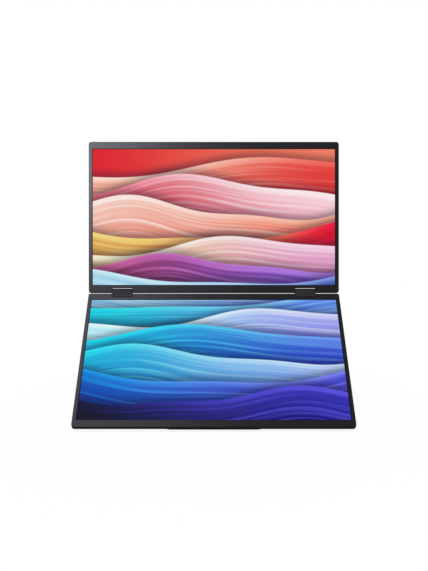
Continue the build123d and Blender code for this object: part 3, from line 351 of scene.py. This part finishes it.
def bezel_plastic(name, axis, lean):
    g = Graph(name)
    point = g.object_point()
    rim = g.sub(1.0, g.ramp(g.along(point, front_of(lean), axis), RIM_LEVEL, FACE_LEVEL))
    grain = g.noise(point, BEZEL_GRAIN)
    g.set(
        Base_Color=g.shades(g.noise(point, MOTTLE_SCALE, MOTTLE_DETAIL), BEZEL_COLOUR, MOTTLE),
        Roughness=g.add(g.about(grain, BEZEL_ROUGH, BEZEL_SPREAD), g.mul(rim, RIM_EXTRA)),
        Specular_IOR_Level=BEZEL_GLOSS,
        Specular_Tint=COOL_GLOSS,
    )
    g.bump(grain, BEZEL_DEPTH)
    return g.material


def cover_plastic(name, axis, lean):
    g = Graph(name)
    point = g.object_point()
    side = g.ramp(g.along(point, front_of(lean), axis), BACK_LEVEL, SIDE_LEVEL)
    lines = g.noise(g.stretch(point, BACK_LINES), detail=BACK_DETAIL)
    grain = g.noise(point, BACK_GRAIN)
    back = g.shades(lines, BACK_COLOUR, BACK_SHADE)
    # Painted shade: the sides take a darker colour than the back, standing in for the shadowed floor they
    # face
    shaded_sides = g.shades(g.noise(point, MOTTLE_SCALE, MOTTLE_DETAIL), SIDE_SHADE_COLOUR, MOTTLE)
    g.set(
        Base_Color=g.mix(side, back, shaded_sides),
        Roughness=g.add(g.about(grain, BACK_ROUGH, BACK_SPREAD), g.mul(side, SIDE_EXTRA)),
        Specular_IOR_Level=COVER_GLOSS,
        Specular_Tint=COOL_GLOSS,
    )
    g.bump(g.mul(grain, g.sub(1.0, side)), BACK_DEPTH)
    return g.material


def brushed_metal(slot):
    base, rough, scale = METALS[slot]
    g = Graph(slot)
    lines = g.noise(g.stretch(g.object_point(), scale), detail=BRUSH_DETAIL)
    g.set(
        Base_Color=g.shades(lines, base, BRUSH_SHADE),
        Roughness=g.about(lines, rough, BRUSH_SPREAD),
        Metallic=1.0,
    )
    g.bump(lines, BRUSH_DEPTH)
    return g.material


def rubber():
    g = Graph("foot")
    grain = g.noise(g.object_point(), RUBBER_GRAIN, RUBBER_DETAIL)
    g.set(
        Base_Color=g.shades(grain, RUBBER_COLOUR, RUBBER_SHADE),
        Roughness=RUBBER_ROUGH,
        Specular_IOR_Level=RUBBER_GLOSS,
    )
    g.bump(grain, RUBBER_DEPTH)
    return g.material


def circuit():
    g = Graph("circuit")
    tracks = g.noise(g.stretch(g.object_point(), TRACKS), detail=TRACK_DETAIL)
    tracks = g.ramp(tracks, TRACK_LOW, TRACK_HIGH)
    g.set(Base_Color=g.shades(tracks, BOARD_COLOUR, BOARD_SHADE), Roughness=BOARD_ROUGH)
    g.bump(tracks, TRACK_DEPTH)
    return g.material


# Screen pictures. Across runs from -1 at the left to 1 at the right.
def band_edge(g, across, level, swing, waves, phase):
    slow = g.math("SINE", g.add(g.mul(across, waves), phase))
    ripple = g.math("SINE", g.add(g.mul(across, RIPPLE_WAVES * waves), RIPPLE_PHASE * phase))
    return g.add(level, g.add(g.mul(slow, swing), g.mul(ripple, RIPPLE_SWING * swing)))


def band_colour(g, across, below, seed, left, right):
    base = g.mix(g.ramp(across, -1.0, 1.0), shown(*left), shown(*right))
    light = g.mix(1.0, base, base, "SCREEN")
    pale = g.mix(1.0, light, light, "SCREEN")
    deep = g.mix(1.0, base, base, "MULTIPLY")
    body = g.mix(g.ramp(below, 0.0, BAND_DEPTH), base, deep)
    crest = g.sub(1.0, g.ramp(below, 0.0, CREST_WIDTH))
    body = g.mix(g.mul(crest, CREST_LIGHT), body, pale)
    flow = g.vector(g.mul(across, STREAKS_ACROSS), g.mul(below, STREAKS_DOWN), seed)
    streak = g.ramp(g.noise(flow, detail=STREAK_DETAIL), STREAK_LOW, STREAK_HIGH)
    return g.mix(g.mul(streak, STREAK_STRENGTH), body, pale)


def lit_area(g, sideways, height):
    side_gap = g.sub(PICTURE_W / 2 - PICTURE_MARGIN, g.math("ABSOLUTE", sideways))
    from_middle = g.math("ABSOLUTE", g.sub(height, PICTURE_H / 2))
    end_gap = g.sub(PICTURE_H / 2 - PICTURE_MARGIN, from_middle)
    return g.ramp(g.math("MINIMUM", side_gap, end_gap), 0.0, PICTURE_EDGE)


def screen_picture(name, axis, up, start, level_shift):
    g = Graph(name)
    point = g.object_point()
    sideways = g.along(point, RIGHTWARD, axis)
    height = g.along(point, up, start)
    across = g.mul(sideways, 2.0 / PICTURE_W)
    level = g.add(g.mul(height, 1.0 / PICTURE_H), level_shift)
    picture = g.mix(g.ramp(across, -1.0, 1.0), shown(*BACKDROP_LEFT), shown(*BACKDROP_RIGHT))
    for seed, (base, swing, waves, phase, left, right) in enumerate(BANDS):
        below = g.sub(band_edge(g, across, base, swing, waves, phase), level)
        shade = g.ramp(below, -BAND_SHADE_WIDTH, 0.0)
        shade = g.mul(g.mul(shade, shade), BAND_SHADE)
        behind = g.mix(shade, picture, colour(*BAND_SHADE_COLOUR))
        band = band_colour(g, across, below, float(seed), left, right)
        picture = g.mix(g.ramp(below, -BAND_SOFT, BAND_SOFT), behind, band)
    g.set(
        Base_Color=colour(*SCREEN_COLOUR),
        Roughness=SCREEN_ROUGH,
        Specular_IOR_Level=SCREEN_GLOSS,
        Emission_Color=g.mix(lit_area(g, sideways, height), BLACK, picture),
        Emission_Strength=PICTURE_LIGHT,
    )
    return g.material


# Materials of the CAD nodes
def assign(material, name):
    mesh = NODES[name].data
    mesh.materials.clear()
    mesh.materials.append(material)


def dress_cad():
    materials = {slot: grained_plastic(slot) for slot in PLASTICS}
    materials.update({slot: brushed_metal(slot) for slot in METALS})
    materials["foot"] = rubber()
    materials["circuit"] = circuit()
    for entry in frame["record"]["subparts"]:
        if entry["material_slot"] in materials:
            assign(materials[entry["material_slot"]], entry["node"])
    for side, axis, lean in (("upper", UPPER_AXIS, UPPER_LEAN), ("lower", LOWER_AXIS, LOWER_LEAN)):
        assign(bezel_plastic(side + "_bezel", axis, lean), side + "_front_bezel")
        assign(cover_plastic(side + "_cover", axis, lean), side + "_rear_cover")


def dress_screens():
    upper_up = up_along(UPPER_LEAN)
    lower_up = up_along(LOWER_LEAN)
    upper_start = UPPER_AXIS + upper_up * PICTURE_START
    lower_start = LOWER_AXIS - lower_up * (PICTURE_START + PICTURE_H)
    upper = screen_picture("upper_picture", UPPER_AXIS, upper_up, upper_start, UPPER_LEVEL)
    lower = screen_picture("lower_picture", LOWER_AXIS, lower_up, lower_start, LOWER_LEVEL)
    assign(upper, "upper_lcd_panel")
    assign(lower, "lower_lcd_panel")


# Studio
def add_to_scene(item):
    bpy.context.scene.collection.objects.link(item)


def add_camera():
    camera = bpy.data.objects.new("camera", bpy.data.cameras.new("camera"))
    camera.data.lens = LENS
    camera.data.sensor_width = SENSOR
    up = up_along(UPPER_LEAN)
    front = front_of(UPPER_LEAN)
    target = UPPER_AXIS + up * PICTURE_START + front * FRONT_DEPTH
    target.x = 0.0
    place = target + front * CAMERA_DISTANCE
    camera.matrix_world = Matrix.Translation(place) @ look_along(-front, up)
    add_to_scene(camera)
    bpy.context.scene.camera = camera


def add_lights():
    for name, place, width, height, watts in SOFTBOXES:
        lamp = bpy.data.lights.new(name, "AREA")
        lamp.shape = "RECTANGLE"
        lamp.size = width
        lamp.size_y = height
        lamp.energy = watts
        box = bpy.data.objects.new(name, lamp)
        aim = Vector(LIGHT_AIM) - Vector(place)
        box.matrix_world = Matrix.Translation(Vector(place)) @ look_along(aim, UPWARD)
        add_to_scene(box)


# One for the rays that show the background: those of the camera, of gloss and of glass
def background_rays(tree):
    path = tree.nodes.new("ShaderNodeLightPath")
    total = path.outputs["Is Camera Ray"]
    for kind in ("Is Glossy Ray", "Is Transmission Ray"):
        step = tree.nodes.new("ShaderNodeMath")
        step.operation = "ADD"
        step.use_clamp = True
        tree.links.new(total, step.inputs[0])
        tree.links.new(path.outputs[kind], step.inputs[1])
        total = step.outputs[0]
    return total


def add_world():
    world = bpy.data.worlds.new("studio")
    bpy.context.scene.world = world
    world.use_nodes = True
    tree = world.node_tree
    background = tree.nodes["Background"]
    background.inputs["Color"].default_value = WHITE
    level = tree.nodes.new("ShaderNodeMapRange")
    level.inputs["To Min"].default_value = SKY_LIGHT
    level.inputs["To Max"].default_value = SKY_SEEN
    tree.links.new(background_rays(tree), level.inputs["Value"])
    tree.links.new(level.outputs["Result"], background.inputs["Strength"])


def floor_paper():
    g = Graph("floor_paper")
    g.set(Base_Color=colour(*FLOOR_COLOUR), Roughness=FLOOR_ROUGH, Specular_IOR_Level=FLOOR_GLOSS)
    contact = g.node("ShaderNodeAmbientOcclusion")
    contact.inputs["Distance"].default_value = CONTACT_REACH
    shaded = colour(CONTACT_LEVEL, CONTACT_LEVEL, CONTACT_LEVEL)
    glow = g.node("ShaderNodeEmission")
    g.link(g.mix(contact.outputs["AO"], shaded, WHITE), glow.inputs["Color"])
    away = g.ramp(g.distance(g.object_point()), SHADOW_REACH, SHADOW_END)
    wash = g.add(SHADOW_WASH, g.mul(away, 1.0 - SHADOW_WASH))
    mix = g.node("ShaderNodeMixShader")
    g.link(g.mul(background_rays(g.tree), wash), mix.inputs[0])
    g.link(g.shader.outputs[0], mix.inputs[1])
    g.link(glow.outputs[0], mix.inputs[2])
    g.link(mix.outputs[0], g.tree.nodes["Material Output"].inputs["Surface"])
    return g.material


def add_floor():
    half = FLOOR_HALF
    mesh = bpy.data.meshes.new("floor")
    corners = [(-half, -half, 0.0), (half, -half, 0.0), (half, half, 0.0), (-half, half, 0.0)]
    mesh.from_pydata(corners, [], [(0, 1, 2, 3)])
    mesh.materials.append(floor_paper())
    floor = bpy.data.objects.new("floor", mesh)
    floor.location.z = -FLOOR_DROP
    add_to_scene(floor)


bpy.context.scene.view_settings.view_transform = "Standard"
dress_cad()
dress_screens()
add_camera()
add_lights()
add_world()
add_floor()
